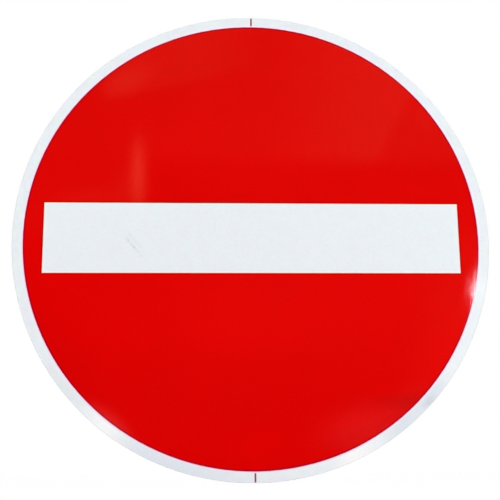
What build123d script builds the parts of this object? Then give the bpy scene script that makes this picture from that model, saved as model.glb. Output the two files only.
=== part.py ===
from build123d import *
import math
import os

# A round no-entry road sign, in millimetres. The face looks along -Y, the fixing rails are on the +Y
# side, +Z is up, and the origin is on the disc's axis, halfway through the whole depth.

# The blank and its films
plate_diameter = 600.0
plate_thickness = 2.0
plate_edge_radius = 0.3
film_setback = 0.4
sheeting_thickness = 0.3
overlay_thickness = 0.1

# The picture on the face
border_width = 13.5
bar_height = 90.4
bar_end_margin = 24.8
tick_width = 2.0
tick_gap = 1.8

# The bolt that the rails hold by its hexagon head
bolt_diameter = 8.0
bolt_head_width = 13.0
bolt_head_height = 5.3
shank_clearance = 0.5
head_side_clearance = 0.25
head_lift_clearance = 0.7

# The rails and the tape that bonds them to the blank
rail_spacing = 300.0
rail_edge_margin = 27.0
flange_width = 40.0
flange_thickness = 2.0
wall_thickness = 2.2
lip_thickness = 2.5
toe_radius = 0.7
root_radius = 1.5
shoulder_radius = 1.0
lip_edge_radius = 0.4
cavity_corner_radius = 0.6
rail_end_chamfer = 0.3
tape_thickness = 1.1
tape_setback = 1.0

# Radii on the face
plate_radius = plate_diameter / 2
film_radius = plate_radius - film_setback
red_radius = plate_radius - border_width
bar_length = 2 * (red_radius - bar_end_margin)

# The slot in the rails
mouth_width = bolt_diameter + 2 * shank_clearance
cavity_width = bolt_head_width + 2 * head_side_clearance
cavity_depth = bolt_head_height + head_lift_clearance
channel_width = cavity_width + 2 * wall_thickness
cavity_roof = flange_thickness + cavity_depth
rail_depth = cavity_roof + lip_thickness

# Places along Y, from the front of the overlay to the outer face of the rails
overall_depth = overlay_thickness + sheeting_thickness + plate_thickness + tape_thickness + rail_depth
overlay_front = -overall_depth / 2
sheeting_front = overlay_front + overlay_thickness
plate_front = sheeting_front + sheeting_thickness
plate_back = plate_front + plate_thickness
rail_base = plate_back + tape_thickness

# The rail stops where the outer corners of its flange are the margin away from the plate's edge
flange_reach = rail_spacing / 2 + flange_width / 2
rail_length = 2 * (math.sqrt(plate_radius**2 - flange_reach**2) - rail_edge_margin)


def face_layer(outline, front, thickness):
    """A flat layer of the face, seen from the front in X and Z, from y = front backwards."""
    back_plane = Plane.XZ.offset(-(front + thickness))
    return extrude(back_plane * outline, amount=thickness)


def sign_plate():
    """The blanked disc, with both edges of its rim deburred."""
    blank = face_layer(Circle(plate_radius), plate_front, plate_thickness)
    return fillet(blank.edges(), plate_edge_radius)


def white_sheeting():
    """The white film, cut back a little from the rim so that bare metal shows around it."""
    return face_layer(Circle(film_radius), sheeting_front, sheeting_thickness)


def red_overlay():
    """The red film, whose window leaves the sheeting bare as the white bar."""
    field = Circle(red_radius) - Rectangle(bar_length, bar_height)
    return face_layer(field, overlay_front, overlay_thickness)


def centre_ticks():
    """Two centring marks, from a small gap outside the red field to the cut edge of the sheeting."""
    ring = Circle(film_radius) - Circle(red_radius + tick_gap)
    stripe = Rectangle(tick_width, plate_diameter)
    return face_layer(ring & stripe, overlay_front, overlay_thickness)


def rounded(profile, depth, half_width, radius):
    """Round the two corners of a profile that lie at this depth and this far each side of its middle."""
    corners = [
        corner
        for corner in profile.vertices()
        if math.isclose(corner.X, depth, abs_tol=1e-6)
        and math.isclose(abs(corner.Y), half_width, abs_tol=1e-6)
    ]
    return fillet(corners, radius)


def rail_profile():
    """The extruded section: X is the depth from the bonded face, Y the width about the slot's middle."""
    flange = Pos(flange_thickness / 2, 0) * Rectangle(flange_thickness, flange_width)
    channel = Pos(rail_depth / 2, 0) * Rectangle(rail_depth, channel_width)
    cavity = Pos(flange_thickness + cavity_depth / 2, 0) * Rectangle(cavity_depth, cavity_width)
    mouth = Pos(cavity_roof + lip_thickness / 2, 0) * Rectangle(lip_thickness, mouth_width)
    profile = flange + channel - cavity - mouth
    profile = rounded(profile, 0, flange_width / 2, toe_radius)
    profile = rounded(profile, flange_thickness, flange_width / 2, toe_radius)
    profile = rounded(profile, flange_thickness, channel_width / 2, root_radius)
    profile = rounded(profile, rail_depth, channel_width / 2, shoulder_radius)
    profile = rounded(profile, rail_depth, mouth_width / 2, lip_edge_radius)
    profile = rounded(profile, cavity_roof, mouth_width / 2, lip_edge_radius)
    profile = rounded(profile, cavity_roof, cavity_width / 2, cavity_corner_radius)
    profile = rounded(profile, flange_thickness, cavity_width / 2, cavity_corner_radius)
    return profile


def rail(height):
    """One slotted rail, cut square from the extrusion and deburred, with its slot at this height."""
    bar = extrude(Plane.YZ * rail_profile(), amount=rail_length / 2, both=True)
    ends = bar.faces().sort_by(Axis.X)
    bar = chamfer(ends[0].edges() + ends[-1].edges(), rail_end_chamfer)
    return Pos(0, rail_base, height) * bar


def rail_tape(height):
    """The foam tape under one rail, set back a little from the flange on every side."""
    width = flange_width - 2 * tape_setback
    length = rail_length - 2 * tape_setback
    strip = Pos(0, height) * Rectangle(length, width)
    return face_layer(strip, plate_back, tape_thickness)


def build_parts():
    """Every node of the sign by name."""
    parts = {
        "sign_plate": sign_plate(),
        "white_sheeting": white_sheeting(),
        "red_overlay": red_overlay(),
        "centre_ticks": centre_ticks(),
    }
    for place, side in (("upper", 1), ("lower", -1)):
        height = side * rail_spacing / 2
        parts[f"{place}_rail"] = rail(height)
        parts[f"{place}_rail_tape"] = rail_tape(height)
    return parts


os.makedirs("parts", exist_ok=True)
for name, solid in build_parts().items():
    export_step(solid, f"parts/{name}.step")
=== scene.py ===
import math

import bpy
from mathutils import Matrix, Vector


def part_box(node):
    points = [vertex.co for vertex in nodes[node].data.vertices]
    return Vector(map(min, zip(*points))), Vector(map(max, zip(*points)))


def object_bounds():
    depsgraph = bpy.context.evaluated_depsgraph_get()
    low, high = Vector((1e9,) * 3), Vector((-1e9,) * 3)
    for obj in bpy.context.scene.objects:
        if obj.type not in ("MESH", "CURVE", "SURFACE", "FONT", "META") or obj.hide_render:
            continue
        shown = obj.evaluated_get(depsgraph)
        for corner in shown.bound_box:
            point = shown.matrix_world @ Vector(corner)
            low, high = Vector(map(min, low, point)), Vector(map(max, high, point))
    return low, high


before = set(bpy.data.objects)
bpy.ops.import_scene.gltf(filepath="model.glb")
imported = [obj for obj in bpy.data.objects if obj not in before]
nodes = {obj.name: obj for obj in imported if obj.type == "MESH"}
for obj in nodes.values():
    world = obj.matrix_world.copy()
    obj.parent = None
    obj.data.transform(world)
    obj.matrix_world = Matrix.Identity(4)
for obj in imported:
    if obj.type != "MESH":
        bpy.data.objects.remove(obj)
cad_low, cad_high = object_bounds()

# Sizes are in metres. The face looks along -Y, and the disc's axis is the Y axis.
scene = bpy.context.scene
red_low, red_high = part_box("red_overlay")
face_y = red_low.y
red_radius = red_high.x
sheet_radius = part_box("white_sheeting")[1].x

# The white bar, from the corners of the red film's window, which are its points well inside its rim
INSIDE_RIM = 0.98
window_corners = [
    vertex.co
    for vertex in nodes["red_overlay"].data.vertices
    if vertex.co.length < INSIDE_RIM * red_radius
]
bar_half_length = max(corner.x for corner in window_corners)
bar_half_height = max(corner.z for corner in window_corners)

# The photograph's camera, fitted to the red circle, the outer edge, the centring marks and the corners of
# the bar. Pixels count from the photograph's upper left corner, and the sensor's width is in millimetres.
IMAGE_SIZE = 500
IMAGE_MIDDLE = (IMAGE_SIZE / 2, IMAGE_SIZE / 2)
FOCAL_PIXELS = 976.3
SENSOR_WIDTH = 36.0
CAMERA_FROM_FACE = Vector((-0.0646, -1.1912, -0.2886))
CAMERA_YAW = math.radians(2.912)
CAMERA_PITCH = math.radians(12.892)
CAMERA_ROLL = math.radians(-0.522)

# Noise varies about this value
NOISE_MIDDLE = 0.5

WHITE = (1.0, 1.0, 1.0, 1.0)


# Shader nodes


def set_inputs(tree, node, inputs):
    """Give a node's inputs their values, or link them where the value is a socket."""
    for key, value in inputs.items():
        if isinstance(value, bpy.types.NodeSocket):
            tree.links.new(value, node.inputs[key])
        else:
            node.inputs[key].default_value = value


def make_node(tree, kind, inputs=None, **settings):
    """A new shader node with its settings and its inputs."""
    node = tree.nodes.new(kind)
    for name, value in settings.items():
        setattr(node, name, value)
    set_inputs(tree, node, inputs or {})
    return node


def calc(tree, operation, *values):
    """The result of a math node."""
    return make_node(tree, "ShaderNodeMath", dict(enumerate(values)), operation=operation).outputs[0]


def chain(tree, operation, values):
    """The values joined one after another by a math operation."""
    result = values[0]
    for value in values[1:]:
        result = calc(tree, operation, result, value)
    return result


def total(tree, values):
    """All the values added up."""
    return chain(tree, "ADD", values)


def product(tree, values):
    """All the values multiplied together."""
    return chain(tree, "MULTIPLY", values)


def clamped(tree, value):
    """A number held between 0 and 1."""
    return make_node(tree, "ShaderNodeClamp", {"Value": value}).outputs[0]


def vector_node(tree, operation, values):
    """A vector math node."""
    return make_node(tree, "ShaderNodeVectorMath", dict(enumerate(values)), operation=operation)


def vector_calc(tree, operation, *values):
    """The vector that a vector math node gives."""
    return vector_node(tree, operation, values).outputs["Vector"]


def vector_value(tree, operation, *values):
    """The number that a vector math node gives, as for a length or a dot product."""
    return vector_node(tree, operation, values).outputs["Value"]


def scaled(tree, vector, factor):
    """A vector or colour times a number."""
    node = make_node(tree, "ShaderNodeVectorMath", {0: vector, "Scale": factor}, operation="SCALE")
    return node.outputs["Vector"]


def axis_of(tree, vector, axis):
    """One axis of a vector."""
    return make_node(tree, "ShaderNodeSeparateXYZ", {0: vector}).outputs[axis]


def fade(tree, value, start, end, low=0.0, high=1.0):
    """A smooth step from low, where the value is start, to high, where it is end."""
    inputs = {"Value": value, "From Min": start, "From Max": end, "To Min": low, "To Max": high}
    node = make_node(tree, "ShaderNodeMapRange", inputs, interpolation_type="SMOOTHSTEP")
    return node.outputs["Result"]


def varied(tree, pattern, contrast, level, spread):
    """A level that noise moves either way, by the whole spread where it is this far from its middle."""
    low = NOISE_MIDDLE - contrast
    high = NOISE_MIDDLE + contrast
    return fade(tree, pattern, low, high, level - spread, level + spread)


# A mix node's inputs share their names, so they go by number: 2 and 3 are numbers, 6 and 7 are colours
def mix_value(tree, factor, first, second):
    """Two numbers mixed by a factor."""
    return make_node(tree, "ShaderNodeMix", {0: factor, 2: first, 3: second}).outputs[0]


def mix_colour(tree, factor, first, second):
    """Two colours mixed by a factor."""
    node = make_node(tree, "ShaderNodeMix", {0: factor, 6: first, 7: second}, data_type="RGBA")
    return node.outputs[2]


def noise(tree, place, scale, detail=2.0, output="Fac"):
    """Noise at a scale in features per metre."""
    inputs = {"Vector": place, "Scale": scale, "Detail": detail}
    return make_node(tree, "ShaderNodeTexNoise", inputs).outputs[output]


def long_noise(tree, place, scales, detail):
    """Noise with its own scale along each axis, so that it runs long one way."""
    return noise(tree, vector_calc(tree, "MULTIPLY", place, scales), scale=1.0, detail=detail)


def object_place(tree):
    """The point on the surface, in the part's own frame."""
    return make_node(tree, "ShaderNodeTexCoord").outputs["Object"]


def bump(tree, height, distance, normal=None):
    """A bump normal from a height, which is in units of this distance."""
    inputs = {"Height": height, "Distance": distance, "Strength": 1.0}
    if normal is not None:
        inputs["Normal"] = normal
    return make_node(tree, "ShaderNodeBump", inputs).outputs["Normal"]


def new_material(name):
    """An empty material with its principled shader, which is already linked to the output."""
    material = bpy.data.materials.new(name)
    material.use_nodes = True
    tree = material.node_tree
    shader = tree.nodes["Principled BSDF"]
    return material, tree, shader


# Distances on the face


def on_face(x, z):
    """A point or a direction on the face."""
    return Vector((x, 0.0, z))


def flat_place(tree):
    """The point on the face with its depth taken out."""
    return vector_calc(tree, "MULTIPLY", object_place(tree), (1.0, 0.0, 1.0))


def past_circle(tree, place):
    """How far the point is outside the red circle, less than zero inside it."""
    return calc(tree, "SUBTRACT", vector_value(tree, "LENGTH", place), red_radius)


def past_bar(tree, place):
    """How far the point is past the bar's ends and its long edges, as X and Z, less than zero inside."""
    size = vector_calc(tree, "ABSOLUTE", place)
    return vector_calc(tree, "SUBTRACT", size, (bar_half_length, 0.0, bar_half_height))


def outside_bar(tree, place):
    """How far the point is outside the white bar."""
    beyond = vector_calc(tree, "MAXIMUM", past_bar(tree, place), (0.0, 0.0, 0.0))
    return vector_value(tree, "LENGTH", beyond)


def inside_bar(tree, place):
    """How far the point is inside the white bar, less than zero outside it."""
    past = past_bar(tree, place)
    nearest = calc(tree, "MAXIMUM", axis_of(tree, past, "X"), axis_of(tree, past, "Z"))
    return calc(tree, "MULTIPLY", nearest, -1.0)


def oval(tree, place, centre, reach, half_width, core=0.0):
    """A soft oval mask. Reach is its half length as a vector, and core the share of it at full level."""
    side = on_face(-reach.z, reach.x).normalized()
    offset = vector_calc(tree, "SUBTRACT", place, tuple(centre))
    along = vector_value(tree, "DOT_PRODUCT", offset, tuple(reach / reach.length_squared))
    across = vector_value(tree, "DOT_PRODUCT", offset, tuple(side / half_width))
    squares = total(tree, [calc(tree, "MULTIPLY", axis, axis) for axis in (along, across)])
    return fade(tree, calc(tree, "SQRT", squares), 1.0, core)


# The skin of the films. Scales are in features per metre, a contrast is how far noise is from its middle
# where it gives the whole spread, and the spreads of the polish and the mottle are shares.
FILM_ROUGHNESS = 0.055
FILM_SPECULAR = 0.4
POLISH_SCALE = 16.0
POLISH_CONTRAST = 0.2
POLISH_SPREAD = 0.1
MOTTLE_SCALE = 260.0
MOTTLE_CONTRAST = 0.15
MOTTLE_SPREAD = 0.3
WAVE_SCALE = 7.0
WAVE_HEIGHT = 0.00005
PEEL_SCALE = 300.0
PEEL_HEIGHT = 0.00001
GRAIN_SCALE = 420.0
GRAIN_CONTRAST = 0.25

# Where the red film's edge is rolled down a little, at the right. The mask about it has a half width of
# this many widths, and the core is the share of it at full level.
ROLLED_EDGE = on_face(0.2795, -0.0660)
ROLLED_HALF_LENGTH = 0.08
ROLLED_WIDTH = 0.018
ROLLED_DROP = 0.0003
ROLLED_MASK_WIDTHS = 2.5
ROLLED_CORE = 0.5

# The stretch of it that is rubbed, and the fine strokes of the rubbing: their direction, their scales
# along it and across it, and how much they change the gloss
RUBBED_HALF_LENGTH = 0.034
RUBBED_CORE = 0.3
RUB_DIRECTION = on_face(0.46, 0.89).normalized()
STROKES_ALONG = 100.0
STROKES_ACROSS = 400.0
STROKE_CONTRAST = 0.15
STROKE_SPREAD = 0.4


def film_normal(tree, place, height=None):
    """The film's normal: broad waves of the sheet, any other height, and a fine orange peel on them."""
    normal = bump(tree, noise(tree, place, WAVE_SCALE, detail=1.0), WAVE_HEIGHT)
    if height is not None:
        normal = bump(tree, height, 1.0, normal)
    return bump(tree, noise(tree, place, PEEL_SCALE), PEEL_HEIGHT, normal)


def film_gloss(tree, place):
    """The strength of the film's gloss, with a faint fine mottle."""
    mottle = noise(tree, place, MOTTLE_SCALE)
    return varied(tree, mottle, MOTTLE_CONTRAST, FILM_SPECULAR, FILM_SPECULAR * MOTTLE_SPREAD)


def film_roughness(tree, place):
    """The roughness of the glossy film, whose polish varies a little."""
    polish = noise(tree, place, POLISH_SCALE, detail=4.0)
    return varied(tree, polish, POLISH_CONTRAST, FILM_ROUGHNESS, FILM_ROUGHNESS * POLISH_SPREAD)


def rolled_stretch(tree, place, half_length, core):
    """A mask of a stretch of the rolled edge, with the share of it that is at full level."""
    tangent = on_face(-ROLLED_EDGE.z, ROLLED_EDGE.x).normalized()
    half_width = ROLLED_WIDTH * ROLLED_MASK_WIDTHS
    return oval(tree, place, ROLLED_EDGE, tangent * half_length, half_width, core)


def rolled_edge(tree, place, circle):
    """The height that the red film loses where its edge is rolled down."""
    across = calc(tree, "DIVIDE", circle, ROLLED_WIDTH)
    depth = calc(tree, "MAXIMUM", calc(tree, "ADD", across, 1.0), 0.0)
    near = rolled_stretch(tree, place, ROLLED_HALF_LENGTH, ROLLED_CORE)
    return product(tree, [depth, depth, near, -ROLLED_DROP])


def rub_strokes(tree, place):
    """Fine strokes along the direction of the rubbing, as a number about 1."""
    side = on_face(-RUB_DIRECTION.z, RUB_DIRECTION.x)
    along = vector_value(tree, "DOT_PRODUCT", place, tuple(RUB_DIRECTION * STROKES_ALONG))
    across = vector_value(tree, "DOT_PRODUCT", place, tuple(side * STROKES_ACROSS))
    lines = make_node(tree, "ShaderNodeCombineXYZ", {"X": along, "Y": across}).outputs[0]
    return varied(tree, noise(tree, lines, scale=1.0, detail=3.0), STROKE_CONTRAST, 1.0, STROKE_SPREAD)


# The red film, with its colours in linear light and the spread of its grain and clouds as shares
RED_INK = (0.72, 0.0002, 0.0002)
RED_GRAIN = 0.02
RED_CLOUD_SCALE = 11.0
RED_CLOUD_CONTRAST = 0.2
RED_CLOUD = 0.015

# The darker lines inside its cut edges, by the distances past the edge at which they start and are full.
# The circle's line keeps only a share of its strength right at the cut, and in the rubbed stretch where the
# glare strips shine, where the paler line is painted light.
CIRCLE_EDGE = (0.36, 0.0005, 0.017, 1.0)
CIRCLE_LINE = (-0.0028, -0.0013)
CUT_LINE = (-0.0009, 0.0)
CUT_SHARE = 0.4
LINE_SHARE_IN_GLARE = 0.2
WINDOW_EDGE = (0.36, 0.0005, 0.0005, 1.0)
WINDOW_LINE = (0.0022, 0.0009)

# Painted light and shade on the red by height, a little darker at the top, lighter below the middle and
# less light again near the bottom: where each change starts and ends, and how much lighter it is there
PAINTED_SHADE_BY_HEIGHT = [
    (0.1, -0.05, -0.008, 0.045),
    (-0.1, -0.18, 0.0, -0.035),
]

# Painted light and shade on the red, in soft lighter and darker patches: the middle of each as X and Z, its
# reach along X and Z, its half width, and how much lighter it is
PAINTED_LIGHT_AND_SHADE_PATCHES = [
    ((0.193, -0.204), (0.060, 0.000), 0.016, -0.14),
    ((0.140, -0.206), (0.088, 0.000), 0.016, -0.03),
    ((0.121, -0.227), (0.035, 0.008), 0.012, 0.04),
    ((0.100, -0.253), (0.035, 0.013), 0.009, -0.035),
    ((-0.260, -0.125), (0.085, -0.148), 0.065, -0.065),
    ((0.240, -0.150), (0.055, 0.075), 0.065, 0.06),
    ((-0.005, -0.112), (0.215, 0.000), 0.055, 0.035),
    ((0.006, -0.255), (0.070, 0.000), 0.040, 0.05),
    ((-0.010, 0.120), (0.330, 0.000), 0.085, 0.04),
]


def red_level_with_painted_shade(tree, place):
    """How light the red is, as a number about 1: a fine grain, faint clouds and painted light and shade."""
    grain = noise(tree, place, GRAIN_SCALE)
    cloud = noise(tree, place, RED_CLOUD_SCALE, detail=3.0)
    levels = [
        1.0,
        varied(tree, grain, GRAIN_CONTRAST, 0.0, RED_GRAIN),
        varied(tree, cloud, RED_CLOUD_CONTRAST, 0.0, RED_CLOUD),
    ]
    height = axis_of(tree, place, "Z")
    # painted light and shade by height
    for step in PAINTED_SHADE_BY_HEIGHT:
        levels.append(fade(tree, height, *step))
    # painted light and shade in soft patches
    for middle, reach, half_width, level in PAINTED_LIGHT_AND_SHADE_PATCHES:
        mask = oval(tree, place, on_face(*middle), on_face(*reach), half_width)
        levels.append(calc(tree, "MULTIPLY", mask, level))
    return total(tree, levels)


def red_film():
    """Transparent red overlay film: deep red, darker along its cut edges, painted light and shade, glossy
    skin.
    """
    material, tree, shader = new_material("red_film")
    place = flat_place(tree)
    circle = past_circle(tree, place)
    window_line = fade(tree, outside_bar(tree, place), *WINDOW_LINE)
    rubbed_glare_stretch = rolled_stretch(tree, place, RUBBED_HALF_LENGTH, RUBBED_CORE)
    circle_line = product(tree, [
        fade(tree, circle, *CIRCLE_LINE),
        fade(tree, circle, *CUT_LINE, 1.0, CUT_SHARE),
        # painted light: the edge line is paler where the glare strips shine
        fade(tree, rubbed_glare_stretch, 0.0, 1.0, 1.0, LINE_SHARE_IN_GLARE),
    ])
    colour = scaled(tree, RED_INK, red_level_with_painted_shade(tree, place))
    colour = mix_colour(tree, circle_line, colour, CIRCLE_EDGE)
    colour = mix_colour(tree, window_line, colour, WINDOW_EDGE)
    uneven = total(tree, [rub_strokes(tree, place), -1.0])
    gloss_change = total(tree, [product(tree, [uneven, rubbed_glare_stretch]), 1.0])
    set_inputs(tree, shader, {
        "Base Color": colour,
        "Roughness": film_roughness(tree, place),
        "Specular IOR Level": product(tree, [film_gloss(tree, place), gloss_change]),
        "Normal": film_normal(tree, place, rolled_edge(tree, place, circle)),
    })
    return material


# The white film, and its pearly mottle, which grows stronger on the ring over this distance
FILM_WHITE = (0.82, 0.87, 0.905)
WHITE_GRAIN_LEVEL = 0.999
WHITE_GRAIN = 0.007
PEARL_SCALE = 80.0
PEARL_ON_BAR = 0.04
PEARL_ON_RING = 0.12
PEARL_STEP = 0.001

# The lit line and the blush beside the red film's cut edges, by the distances past the edge at which each
# starts and is full
RING_LIT_EDGE = (0.99, 0.83, 0.93, 1.0)
RING_BLUSH = (1.0, 0.62, 0.78, 1.0)
BAR_LIT_EDGE = (0.99, 0.88, 0.85, 1.0)
BAR_BLUSH = (1.0, 0.62, 0.56, 1.0)
LIT_LINE = (0.0026, 0.0016)
BLUSH_LINE = (0.0012, 0.0006)

# The scuffs on the left of the bar: start and end of each stroke as X and Z, its half width and depth
SCUFFS = [
    ((-0.1600, 0.0010), (-0.1560, -0.0035), 0.0034, 0.16),
    ((-0.1565, -0.0035), (-0.1490, -0.0120), 0.0030, 0.34),
    ((-0.1490, -0.0120), (-0.1425, -0.0190), 0.0030, 0.25),
    ((-0.1545, 0.0048), (-0.1495, -0.0016), 0.0032, 0.18),
    ((-0.1475, -0.0040), (-0.1400, -0.0125), 0.0034, 0.14),
    ((-0.1408, -0.0235), (-0.1390, -0.0235), 0.0024, 0.22),
    ((-0.1368, -0.0163), (-0.1367, -0.0178), 0.0018, 0.12),
]
SCUFF_GREY = (0.55, 0.58, 0.6, 1.0)

# How the grain breaks them up: the two values of the noise, and the strength at each
SCUFF_BREAKS = (0.35, 0.6, 0.45, 1.1)

# A faint grey patch at the ring's outer edge, low on the right: its middle, reach and half width
RING_GREY_PATCH = (on_face(0.2129, -0.2056), on_face(0.0110, 0.0103), 0.007)
RING_GREY_PATCH_DEPTH = 0.45

# Patches of the ring, the lighter ones painted highlights and the greyer ones darker patches: the angle of
# the middle and half the spread in degrees, the depth and tint
RING_HIGHLIGHTS_AND_PATCHES = [
    (-13, 7, 0.9, (0.87, 0.915, 0.93, 1.0)),
    (-45, 55, 0.55, (0.92, 0.96, 0.98, 1.0)),
    (-52, 9, 0.8, (0.72, 0.78, 0.84, 1.0)),
    (-43, 9, 0.9, (0.72, 0.78, 0.84, 1.0)),
    (-66, 8, 0.85, (0.99, 0.99, 0.99, 1.0)),
    (-110, 22, 0.85, (0.76, 0.82, 0.90, 1.0)),
    (-128, 9, 0.8, (0.97, 0.98, 0.99, 1.0)),
    (-141, 10, 0.6, (0.78, 0.82, 0.85, 1.0)),
]


def stroke(tree, place, start, end, half_width, depth):
    """A soft line between two points of the face, as a mask."""
    first = on_face(*start)
    run = on_face(*end) - first
    offset = vector_calc(tree, "SUBTRACT", place, tuple(first))
    along = vector_value(tree, "DOT_PRODUCT", offset, tuple(run / run.length_squared))
    nearest = scaled(tree, tuple(run), clamped(tree, along))
    return fade(tree, vector_value(tree, "DISTANCE", offset, nearest), half_width, 0.0, 0.0, depth)


def grey_marks(tree, place):
    """A mask of the bar's scuffs, broken up by fine noise, and of the ring's grey patch."""
    strokes = [stroke(tree, place, *scuff) for scuff in SCUFFS]
    broken = fade(tree, noise(tree, place, GRAIN_SCALE, detail=3.0), *SCUFF_BREAKS)
    scuffs = product(tree, [total(tree, strokes), broken])
    grey_patch = calc(tree, "MULTIPLY", oval(tree, place, *RING_GREY_PATCH), RING_GREY_PATCH_DEPTH)
    return calc(tree, "MAXIMUM", scuffs, grey_patch)


def ring_highlights_and_patches(tree, place, colour, beyond):
    """The painted highlights and greyer patches laid over the colour, on the ring alone."""
    angle = calc(tree, "ARCTAN2", axis_of(tree, place, "Z"), axis_of(tree, place, "X"))
    on_ring = calc(tree, "GREATER_THAN", beyond, 0.0)
    # the lighter tints are painted highlights, the greyer ones darker patches
    for middle, spread, depth, tint in RING_HIGHLIGHTS_AND_PATCHES:
        apart = calc(tree, "ABSOLUTE", calc(tree, "SUBTRACT", angle, math.radians(middle)))
        mask = product(tree, [fade(tree, apart, math.radians(spread), 0.0, 0.0, depth), on_ring])
        colour = mix_colour(tree, mask, colour, tint)
    return colour


def pearly_white(tree, place, beyond):
    """The film's white with its grain and its pearly mottle."""
    grain = varied(tree, noise(tree, place, GRAIN_SCALE), GRAIN_CONTRAST, WHITE_GRAIN_LEVEL, WHITE_GRAIN)
    pearl = noise(tree, place, PEARL_SCALE, detail=1.0, output="Color")
    pearl = vector_calc(tree, "SUBTRACT", pearl, (NOISE_MIDDLE, NOISE_MIDDLE, NOISE_MIDDLE))
    pearl = scaled(tree, pearl, fade(tree, beyond, 0.0, PEARL_STEP, PEARL_ON_BAR, PEARL_ON_RING))
    colour = vector_calc(tree, "MULTIPLY", FILM_WHITE, vector_calc(tree, "ADD", pearl, (1.0, 1.0, 1.0)))
    return scaled(tree, colour, grain)


def beside_edge(tree, distance, line):
    """A mask of a narrow line beside the red film's cut edge, from the distance past that edge."""
    return product(tree, [fade(tree, distance, *line), calc(tree, "GREATER_THAN", distance, 0.0)])


def white_film():
    """White retroreflective sheeting: bead grain, faint pearly mottle, scuffs, a grey patch, painted ring
    highlights.
    """
    material, tree, shader = new_material("white_film")
    place = flat_place(tree)
    beyond = past_circle(tree, place)
    inside = inside_bar(tree, place)
    colour = ring_highlights_and_patches(tree, place, pearly_white(tree, place, beyond), beyond)
    for distance, lit, blush in ((beyond, RING_LIT_EDGE, RING_BLUSH), (inside, BAR_LIT_EDGE, BAR_BLUSH)):
        colour = mix_colour(tree, beside_edge(tree, distance, LIT_LINE), colour, lit)
        colour = mix_colour(tree, beside_edge(tree, distance, BLUSH_LINE), colour, blush)
    set_inputs(tree, shader, {
        "Base Color": mix_colour(tree, grey_marks(tree, place), colour, SCUFF_GREY),
        "Roughness": film_roughness(tree, place),
        "Specular IOR Level": film_gloss(tree, place),
        "Normal": film_normal(tree, place),
    })
    return material


# The ink of the centring marks. It thins between two values of its noise, and is worn at its outer end.
TICK_INK = (0.32, 0.003, 0.012, 1.0)
TICK_ROUGHNESS = 0.35
INK_SCALE = 900.0
INK_THINNING = (0.45, 0.75, 0.0, 0.08)
WORN_LENGTH = 0.0015
WORN_THINNING = 0.8


def tick_ink():
    """Dark maroon ink of slightly uneven density, worn at the cut edge of the sheeting."""
    material, tree, shader = new_material("tick_ink")
    place = flat_place(tree)
    radius = vector_value(tree, "LENGTH", place)
    thin = fade(tree, noise(tree, place, INK_SCALE, detail=3.0), *INK_THINNING)
    worn = fade(tree, radius, sheet_radius - WORN_LENGTH, sheet_radius, 0.0, WORN_THINNING)
    bare = calc(tree, "MAXIMUM", thin, worn)
    set_inputs(tree, shader, {
        "Base Color": mix_colour(tree, bare, TICK_INK, (*FILM_WHITE, 1.0)),
        "Roughness": TICK_ROUGHNESS,
    })
    return material


# The metal and the tape behind. Lines and clouds have a scale along each axis. A band is two values of a
# pattern between which something changes. A tinting or roughening has the levels at those values as well.
LINE_BAND = (0.25, 0.75)
GLOSS_BAND = (0.2, 0.8)

ROLLING_LINES = (4.0, 4.0, 900.0)
FINE_LINES = (25.0, 25.0, 2600.0)
ROLLING_SHARE = 0.6
FINE_SHARE = 0.4
DULL_SCALE = 11.0
DULL_TINTING = (0.5, 0.75, 0.0, 0.35)
DULL_ROUGHENING = (0.4, 0.7, 0.0, 0.12)
PLATE_DARK = (0.56, 0.57, 0.585, 1.0)
PLATE_LIGHT = (0.7, 0.71, 0.72, 1.0)
PLATE_DULL = (0.52, 0.525, 0.53, 1.0)
PLATE_ROUGHNESS = (0.3, 0.42)
PLATE_LINE_HEIGHT = 0.00001

DIE_LINES = (1.5, 900.0, 900.0)
SAWN_LINES = (1.0, 300.0, 2600.0)
RAIL_CLOUDS = (14.0, 60.0, 60.0)
CLOUD_TINTING = (0.45, 0.75, 0.0, 0.3)
END_BAND = (0.6, 0.9)
SAWN_ROUGHENING = 0.12
RAIL_DARK = (0.6, 0.605, 0.61, 1.0)
RAIL_LIGHT = (0.74, 0.745, 0.75, 1.0)
RAIL_CLOUDED = (0.55, 0.55, 0.55, 1.0)
RAIL_ROUGHNESS = (0.24, 0.34)
RAIL_LINE_HEIGHT = 0.000006

CELL_SCALE = 2200.0
CELL_BAND = (0.1, 0.6)
CELL_HEIGHT = 0.0001
FOAM_DARK = (0.05, 0.05, 0.052, 1.0)
FOAM_LIGHT = (0.12, 0.12, 0.125, 1.0)
FOAM_ROUGHNESS = 0.75


def plate_aluminium():
    """Mill-finish sheet: fine rolling lines along X, dull patches from handling."""
    material, tree, shader = new_material("plate_aluminium")
    place = object_place(tree)
    rolling = long_noise(tree, place, ROLLING_LINES, detail=4.0)
    fine = long_noise(tree, place, FINE_LINES, detail=2.0)
    lines = total(tree, [
        calc(tree, "MULTIPLY", rolling, ROLLING_SHARE),
        calc(tree, "MULTIPLY", fine, FINE_SHARE),
    ])
    dull = noise(tree, place, DULL_SCALE, detail=5.0)
    colour = mix_colour(tree, fade(tree, lines, *LINE_BAND), PLATE_DARK, PLATE_LIGHT)
    colour = mix_colour(tree, fade(tree, dull, *DULL_TINTING), colour, PLATE_DULL)
    roughness = fade(tree, lines, *GLOSS_BAND, *PLATE_ROUGHNESS)
    set_inputs(tree, shader, {
        "Base Color": colour,
        "Metallic": 1.0,
        "Roughness": total(tree, [roughness, fade(tree, dull, *DULL_ROUGHENING)]),
        "Normal": bump(tree, lines, PLATE_LINE_HEIGHT),
    })
    return material


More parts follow.
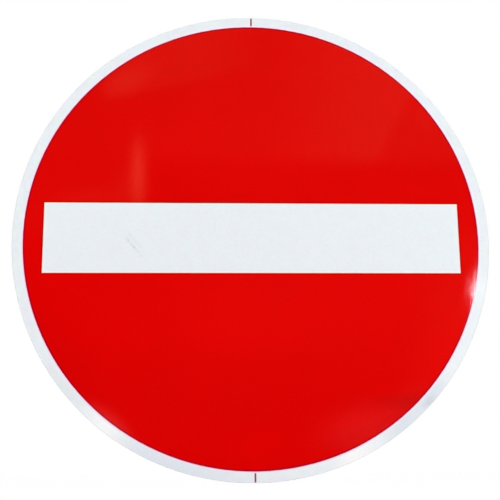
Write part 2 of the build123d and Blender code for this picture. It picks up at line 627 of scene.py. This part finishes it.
def rail_aluminium():
    """Extruded aluminium: die lines along X, and sawn ends."""
    material, tree, shader = new_material("rail_aluminium")
    place = object_place(tree)
    die = long_noise(tree, place, DIE_LINES, detail=3.0)
    sawn = long_noise(tree, place, SAWN_LINES, detail=2.0)
    cloud = long_noise(tree, place, RAIL_CLOUDS, detail=3.0)
    surface = make_node(tree, "ShaderNodeNewGeometry")
    facing = axis_of(tree, surface.outputs["True Normal"], "X")
    end_face = fade(tree, calc(tree, "ABSOLUTE", facing), *END_BAND)
    lines = mix_value(tree, end_face, die, sawn)
    colour = mix_colour(tree, fade(tree, lines, *LINE_BAND), RAIL_DARK, RAIL_LIGHT)
    colour = mix_colour(tree, fade(tree, cloud, *CLOUD_TINTING), colour, RAIL_CLOUDED)
    roughness = fade(tree, lines, *GLOSS_BAND, *RAIL_ROUGHNESS)
    set_inputs(tree, shader, {
        "Base Color": colour,
        "Metallic": 1.0,
        "Roughness": total(tree, [roughness, calc(tree, "MULTIPLY", end_face, SAWN_ROUGHENING)]),
        "Normal": bump(tree, lines, RAIL_LINE_HEIGHT),
    })
    return material


def foam_tape():
    """Dark grey acrylic foam, with its closed cells showing at the cut sides."""
    material, tree, shader = new_material("foam_tape")
    inputs = {"Vector": object_place(tree), "Scale": CELL_SCALE}
    cells = make_node(tree, "ShaderNodeTexVoronoi", inputs).outputs["Distance"]
    set_inputs(tree, shader, {
        "Base Color": mix_colour(tree, fade(tree, cells, *CELL_BAND), FOAM_DARK, FOAM_LIGHT),
        "Roughness": FOAM_ROUGHNESS,
        "Normal": bump(tree, cells, CELL_HEIGHT),
    })
    return material


def dress(node_names, material):
    """Give CAD nodes their material."""
    for name in node_names:
        piece = nodes[name]
        piece.data.materials.clear()
        piece.data.materials.append(material)


def flat_sheet(name, corners, material):
    """A flat sheet of the stage between four corners."""
    mesh = bpy.data.meshes.new(name)
    mesh.from_pydata(corners, [], [(0, 1, 2, 3)])
    mesh.materials.append(material)
    sheet = bpy.data.objects.new(name, mesh)
    scene.collection.objects.link(sheet)
    return sheet


# The camera, and where the face reflects what it sees

forward = Vector((
    math.sin(CAMERA_YAW) * math.cos(CAMERA_PITCH),
    math.cos(CAMERA_YAW) * math.cos(CAMERA_PITCH),
    math.sin(CAMERA_PITCH),
))
level_right = Vector((math.cos(CAMERA_YAW), -math.sin(CAMERA_YAW), 0.0))
level_up = level_right.cross(forward)
right = math.cos(CAMERA_ROLL) * level_right + math.sin(CAMERA_ROLL) * level_up
up = math.cos(CAMERA_ROLL) * level_up - math.sin(CAMERA_ROLL) * level_right
camera_place = CAMERA_FROM_FACE + Vector((0.0, face_y, 0.0))


def make_camera():
    """The photograph's camera."""
    data = bpy.data.cameras.new("camera")
    data.sensor_width = SENSOR_WIDTH
    data.lens = FOCAL_PIXELS / IMAGE_SIZE * SENSOR_WIDTH
    camera = bpy.data.objects.new("camera", data)
    axes = Matrix((right, up, -forward)).transposed()
    camera.matrix_world = Matrix.Translation(camera_place) @ axes.to_4x4()
    scene.collection.objects.link(camera)
    scene.camera = camera


# A card stands this far in front of the face, and a pixel of the photograph spans this much of it
CARD_DISTANCE = 2.6
CARD_HALF_WIDTH = 6.0
card_pixel = (CARD_DISTANCE - CAMERA_FROM_FACE.y) / FOCAL_PIXELS
card_y = face_y - CARD_DISTANCE

# Lit areas of the card, which is dark elsewhere, with their brightness. Each edge of an area is two pixels,
# with the lit side on the left of the way from the first to the second, and the half width of the soft
# edge in pixels, which is negative where the lit side is on the right.
DARK_LEVEL = 0.005
BASE_EDGES = [((160, 300), (160, 200), -120), ((100, 385), (400, 385), 90)]
BASE_LEVEL = 0.042
RIM_EDGES = [((420, 400), (447, 200), -40), ((400, 235), (100, 235), 40)]
RIM_LEVEL = 0.06
CORNER_EDGES = [((100, 100), (210, 77), 5), ((106, 60), (106, 120), 9), ((235, 120), (235, 60), 45)]
CORNER_LEVEL = 0.1

# The sheen over the top half: its brightness at the left and at the right, and the shares of that past
# its diagonal edge and where it comes further down at the left
SHEEN_FOOT = ((143, 161), (377, 161), 11)
SHEEN_SIDE = ((325, 300), (325, 100), -120)
SHEEN_LEVELS = (0.05, 0.212)
SHEEN_DIAGONAL = ((379, 157), (408, 100), 6)
PAST_DIAGONAL_SHARE = 0.42
LEFT_EDGES = [((100, 237), (400, 237), 11), ((132, 300), (132, 100), 6)]
LEFT_SHARE = 0.8

# The brighter surroundings: how far from the middle of the picture they start and are full
SURROUND_BAND = (1.1, 4.5)
SURROUND_LEVEL = 0.5

# Soft ovals on the card: the pixels of the centre and of one end, the half width in pixels, and the
# brightness
HIGH_PATCHES = [
    ((128, 80), (164, 62), 20, 0.23),
    ((90, 198), (145, 196), 16, 0.1),
    ((123, 186), (123, 160), 14, 0.07),
    ((424, 120), (434, 136), 12, 0.09),
]
STREAK = [
    ((138.2, 174), (138.2, 120), 11, 0.76),
    ((134.5, 185), (134.5, 169), 8, 0.12),
]
LOW_PATCHES = [
    ((101, 432), (138, 462), 26, 1.0),
    ((368, 427), (440, 405), 36, 0.2),
    ((412, 395), (436, 372), 17, 0.07),
]

# The tints of the sheen, of the streak at the upper left and of the patches low down
SHEEN_TINT = (1.0, 1.0, 0.57)
STREAK_TINT = (3.0, 1.0, 0.48)
LOW_TINT = (1.0, 1.0, 1.0)


def on_card(pixel):
    """The place on the card whose reflection shows at this pixel of the photograph."""
    across = pixel[0] - IMAGE_MIDDLE[0]
    down = pixel[1] - IMAGE_MIDDLE[1]
    ray = forward * FOCAL_PIXELS + right * across - up * down
    behind = camera_place + ray * ((face_y + CARD_DISTANCE - camera_place.y) / ray.y)
    return Vector((behind.x, card_y, behind.z))


def left_of(tree, place, first, second, softness):
    """A mask of the reflection on the left of the line from one pixel to another, with a soft edge."""
    start = on_card(first)
    run = on_card(second) - start
    outward = on_face(-run.z, run.x).normalized()
    offset = vector_calc(tree, "SUBTRACT", place, tuple(start))
    reach = softness * card_pixel
    return fade(tree, vector_value(tree, "DOT_PRODUCT", offset, tuple(outward)), -reach, reach)


def lit_area(tree, place, edges, level):
    """An area at this level on the lit side of all its edges."""
    masks = [left_of(tree, place, *edge) for edge in edges]
    return product(tree, [*masks, level])


def soft_ovals(tree, place, ovals):
    """The brightness of the soft ovals in a list, added up."""
    levels = []
    for centre, end, half_width, level in ovals:
        middle = on_card(centre)
        mask = oval(tree, place, middle, on_card(end) - middle, half_width * card_pixel)
        levels.append(calc(tree, "MULTIPLY", mask, level))
    return total(tree, levels)


def top_sheen(tree, place):
    """The dim sheen over the top half, in a mask that comes further down at the left."""
    at_left = lit_area(tree, place, LEFT_EDGES, LEFT_SHARE)
    above = calc(tree, "MAXIMUM", left_of(tree, place, *SHEEN_FOOT), at_left)
    ramp = fade(tree, left_of(tree, place, *SHEEN_SIDE), 0.0, 1.0, *SHEEN_LEVELS)
    diagonal = left_of(tree, place, *SHEEN_DIAGONAL)
    past_diagonal = fade(tree, diagonal, 0.0, 1.0, PAST_DIAGONAL_SHARE, 1.0)
    return product(tree, [above, ramp, past_diagonal])


def card_glow(tree):
    """What the card shows in the gloss: dark, with the sheen and a few soft patches."""
    place = object_place(tree)
    from_middle = vector_value(tree, "DISTANCE", place, tuple(on_card(IMAGE_MIDDLE)))
    level = total(tree, [
        DARK_LEVEL,
        fade(tree, from_middle, *SURROUND_BAND, 0.0, SURROUND_LEVEL),
        lit_area(tree, place, BASE_EDGES, BASE_LEVEL),
        lit_area(tree, place, RIM_EDGES, RIM_LEVEL),
        top_sheen(tree, place),
        lit_area(tree, place, CORNER_EDGES, CORNER_LEVEL),
        soft_ovals(tree, place, HIGH_PATCHES),
    ])
    colour = scaled(tree, SHEEN_TINT, level)
    for tint, ovals in ((STREAK_TINT, STREAK), (LOW_TINT, LOW_PATCHES)):
        patches = scaled(tree, tint, soft_ovals(tree, place, ovals))
        colour = vector_calc(tree, "ADD", colour, patches)
    return colour


def card_light():
    """The light that the card gives, and nothing else of it."""
    material = bpy.data.materials.new("dark_card")
    material.use_nodes = True
    tree = material.node_tree
    tree.nodes.clear()
    glow = make_node(tree, "ShaderNodeEmission", {"Color": card_glow(tree)})
    make_node(tree, "ShaderNodeOutputMaterial", {"Surface": glow.outputs[0]})
    return material


def make_card():
    """A dark card in front of the face, seen only in its gloss, which keeps the red deep."""
    corners = [
        (-CARD_HALF_WIDTH, card_y, floor_z),
        (CARD_HALF_WIDTH, card_y, floor_z),
        (CARD_HALF_WIDTH, card_y, CARD_HALF_WIDTH),
        (-CARD_HALF_WIDTH, card_y, CARD_HALF_WIDTH),
    ]
    card = flat_sheet("dark_card", corners, card_light())
    card.visible_camera = False
    card.visible_diffuse = False
    card.visible_shadow = False
    card.visible_transmission = False


# The studio

# The bright strips that the rolled edge of the red film catches: the pixel of the middle of each, its
# width and height in pixels, and its brightness. They stand this far before the card, towards the face.
GLARE_STRIPS = [
    ((481, 291), (14, 18), 1.3),
    ((492.5, 293), (9, 18), 3.3),
    ((502, 297), (10, 18), 9.0),
    ((518, 301), (22, 22), 28.0),
    ((515, 282), (22, 16), 5.0),
]
GLARE_TINT = (0.65, 0.87, 1.0)
GLARE_GAP = 0.05

# The soft boxes, one on each side: how far they are across, out and down from the middle of the face, and
# the share of the light that each gives there
SOFTBOX_ACROSS = 1.7
SOFTBOX_OUT = 1.5
SOFTBOX_DOWN = 0.05
SOFTBOX_WIDTH = 0.5
RIGHT_LIGHT = 0.17
LEFT_LIGHT = 0.143

# Broad lights: the azimuth and elevation in degrees, and the strength. Azimuth 0 is in front of the face,
# and 90 is from +X.
SUNS = {
    "front_light": (35, 50, 0.5),
    "back_light": (150, 40, 1.2),
}
SUN_SPREAD = math.radians(30)

# The room and its floor, which glows a little for the rays that see the background and for no others
ROOM_LIGHT = 0.5
FLOOR_DROP = 0.05
FLOOR_SIZE = 60.0
FLOOR_GREY = (0.8, 0.8, 0.8, 1.0)
FLOOR_ROUGHNESS = 0.9
FLOOR_GLOW = 0.3
floor_z = cad_low.z - FLOOR_DROP


def add_lamp(kind, name, place, towards, energy, size):
    """A lamp at a place, aimed at a point, with its power or strength and its size."""
    data = bpy.data.lights.new(name, kind)
    data.energy = energy
    if kind == "SUN":
        data.angle = size
    else:
        data.shape = "RECTANGLE"
        data.size, data.size_y = size
    lamp = bpy.data.objects.new(name, data)
    lamp.location = place
    lamp.rotation_mode = "QUATERNION"
    lamp.rotation_quaternion = (place - towards).to_track_quat("Z", "Y")
    lamp.visible_camera = False
    scene.collection.objects.link(lamp)
    return lamp


def make_glare(name, centre, pixels, brightness):
    """A small bright lamp that the rolled edge of the red film catches at the right."""
    size = [side * card_pixel for side in pixels]
    place = on_card(centre) + Vector((0.0, GLARE_GAP, 0.0))
    power = brightness * size[0] * size[1] * math.pi
    lamp = add_lamp("AREA", name, place, place + Vector((0.0, 1.0, 0.0)), power, size)
    lamp.data.color = GLARE_TINT


def make_softbox(name, across, light):
    """A soft box out of the face's reflection, with this share of the light on the middle of the face."""
    middle = Vector((0.0, face_y, 0.0))
    place = middle + Vector((across, -SOFTBOX_OUT, -SOFTBOX_DOWN))
    reach = (place - middle).length
    power = light * math.pi**2 * reach**3 / SOFTBOX_OUT
    lamp = add_lamp("AREA", name, place, middle, power, (SOFTBOX_WIDTH, SOFTBOX_WIDTH))
    lamp.visible_glossy = False


def make_sun(name, azimuth, elevation, strength):
    """A broad even light from a direction."""
    turn = math.radians(azimuth)
    rise = math.radians(elevation)
    place = Vector((math.sin(turn) * math.cos(rise), -math.cos(turn) * math.cos(rise), math.sin(rise)))
    add_lamp("SUN", name, place, Vector((0.0, 0.0, 0.0)), strength, SUN_SPREAD)


def background_rays(tree):
    """1 for the rays by which camera, gloss or glass see the background, 0 for the light on surfaces."""
    path = make_node(tree, "ShaderNodeLightPath")
    seen = calc(tree, "MAXIMUM", path.outputs["Is Camera Ray"], path.outputs["Is Glossy Ray"])
    return calc(tree, "MAXIMUM", seen, path.outputs["Is Transmission Ray"])


def pale_grey():
    """The floor's dull grey, with its glow."""
    material, tree, shader = new_material("floor")
    set_inputs(tree, shader, {
        "Base Color": FLOOR_GREY,
        "Roughness": FLOOR_ROUGHNESS,
        "Specular IOR Level": 0.0,
        "Emission Color": WHITE,
        "Emission Strength": calc(tree, "MULTIPLY", background_rays(tree), FLOOR_GLOW),
    })
    return material


def make_floor():
    """A pale floor that keeps the sign's shadow and is white away from it."""
    half = FLOOR_SIZE / 2
    corners = [
        (-half, -half, floor_z),
        (half, -half, floor_z),
        (half, half, floor_z),
        (-half, half, floor_z),
    ]
    floor = flat_sheet("floor", corners, pale_grey())


def make_world():
    """Even light for the surfaces, and plain white where camera, gloss or glass see the background."""
    world = bpy.data.worlds.new("studio")
    scene.world = world
    world.use_nodes = True
    tree = world.node_tree
    tree.nodes.clear()
    light = make_node(tree, "ShaderNodeBackground", {"Color": WHITE, "Strength": ROOM_LIGHT})
    background = make_node(tree, "ShaderNodeBackground", {"Color": WHITE, "Strength": 1.0})
    inputs = {0: background_rays(tree), 1: light.outputs[0], 2: background.outputs[0]}
    mixed = make_node(tree, "ShaderNodeMixShader", inputs)
    make_node(tree, "ShaderNodeOutputWorld", {"Surface": mixed.outputs[0]})


make_camera()
dress(["red_overlay"], red_film())
dress(["white_sheeting"], white_film())
dress(["centre_ticks"], tick_ink())
dress(["sign_plate"], plate_aluminium())
dress(["upper_rail", "lower_rail"], rail_aluminium())
dress(["upper_rail_tape", "lower_rail_tape"], foam_tape())
make_world()
make_floor()
make_card()
for number, strip in enumerate(GLARE_STRIPS):
    make_glare(f"glare_{number}", *strip)
make_softbox("right_softbox", SOFTBOX_ACROSS, RIGHT_LIGHT)
make_softbox("left_softbox", -SOFTBOX_ACROSS, LEFT_LIGHT)
for name, sun in SUNS.items():
    make_sun(name, *sun)

scene.view_settings.view_transform = "Standard"
